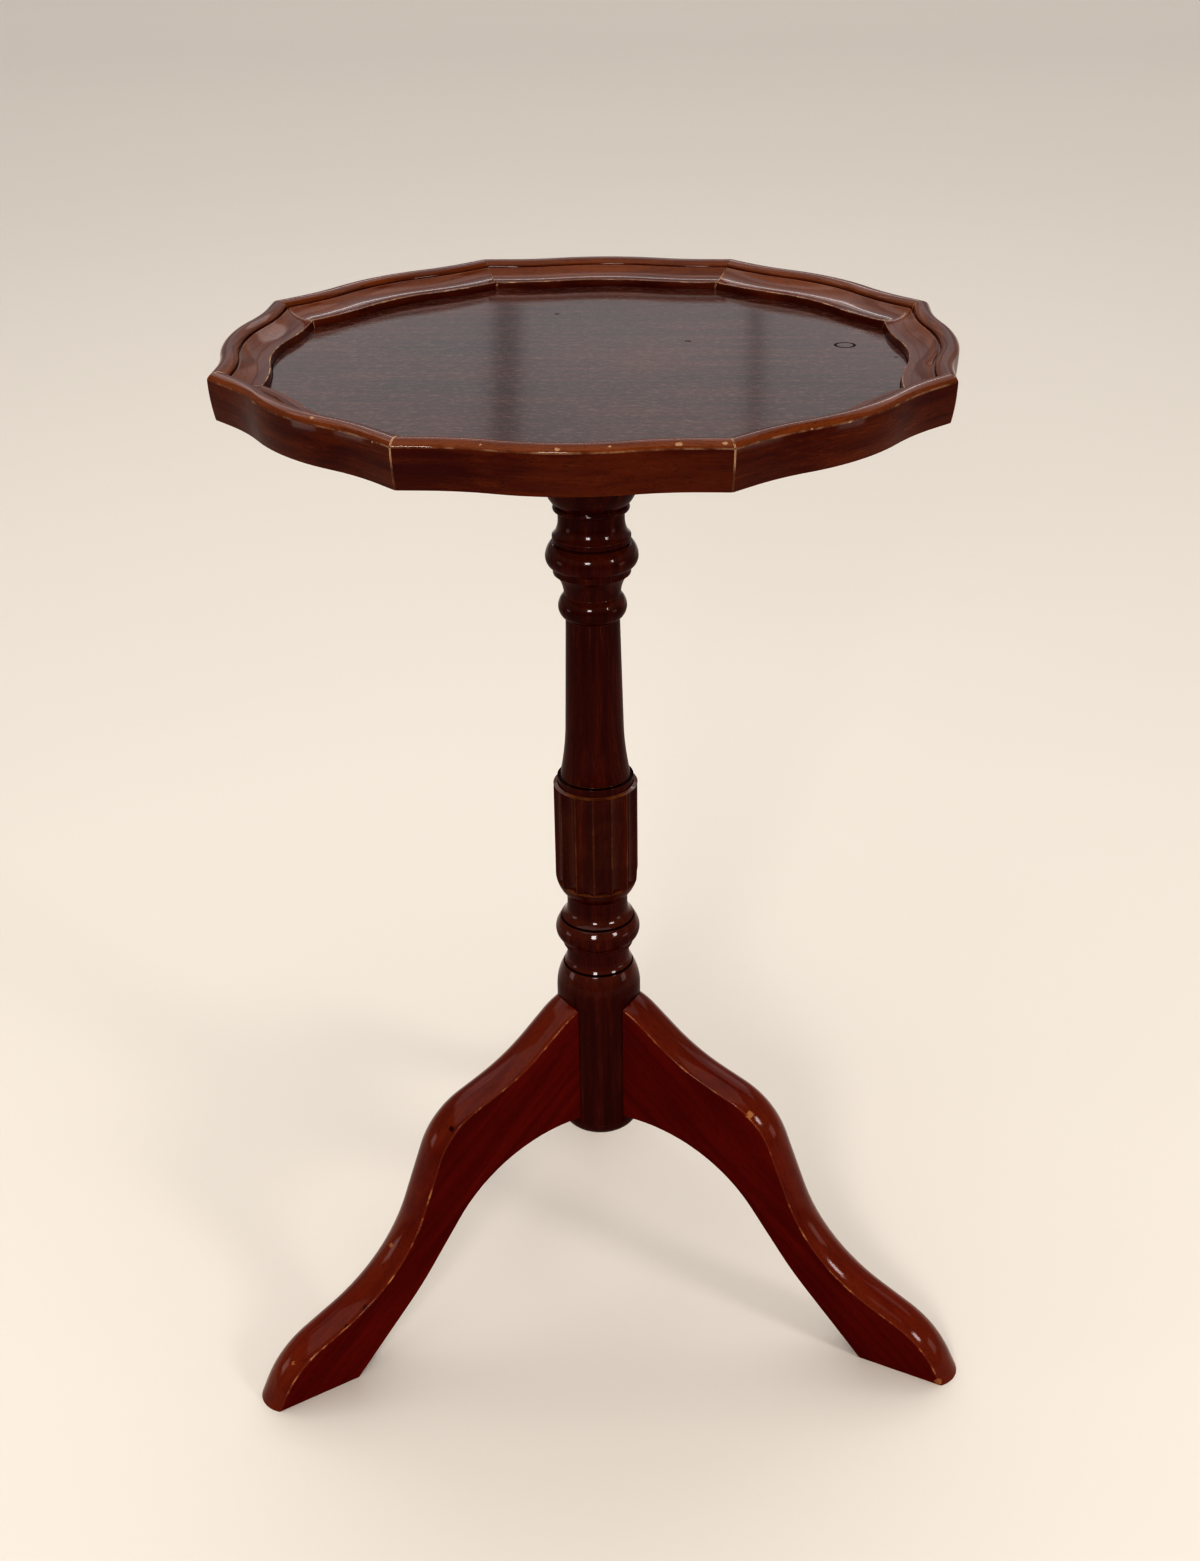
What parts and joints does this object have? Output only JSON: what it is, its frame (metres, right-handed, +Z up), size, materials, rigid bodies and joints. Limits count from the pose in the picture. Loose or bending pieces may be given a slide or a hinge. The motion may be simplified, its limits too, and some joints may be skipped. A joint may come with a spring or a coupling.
{
  "type": "piecrust side table",
  "caption": "Small occasional table: dished octagonal top with a wavy moulded rim, on a turned and fluted column with curved tripod legs. Holds a lamp, a book or a cup.",
  "frame": {"origin": "on the floor, under the axis of the column", "axes": "+Z up along the column; -Y towards the front side of the top, +X to the right seen from the front"},
  "size_m": [0.3817, 0.39, 0.5545],
  "materials": {
    "panel_lacquer": "high gloss lacquer over dark red mahogany stain",
    "rim_lacquer": "gloss lacquer over red mahogany stain, worn on the arrises",
    "column_lacquer": "gloss lacquer over dark red mahogany stain",
    "leg_lacquer": "gloss lacquer over red mahogany stain, worn on the arrises",
    "block_wood": "plain stained hardwood, not lacquered",
    "dowel_wood": "plain hardwood",
    "screw_steel": "zinc plated",
    "insert_brass": "plain brass"
  },
  "bodies": {
    "root": {"top_panel": "panel_lacquer", "rim_front": "rim_lacquer", "rim_front_right": "rim_lacquer", "rim_right": "rim_lacquer", "rim_back_right": "rim_lacquer", "rim_back": "rim_lacquer", "rim_back_left": "rim_lacquer", "rim_left": "rim_lacquer", "rim_front_left": "rim_lacquer", "mounting_block": "block_wood", "block_screws": "screw_steel", "threaded_insert": "insert_brass", "column_stud": "screw_steel", "column": "column_lacquer", "leg_left": "leg_lacquer", "leg_right": "leg_lacquer", "leg_back": "leg_lacquer", "leg_dowels": "dowel_wood"}
  },
  "joints": []
}
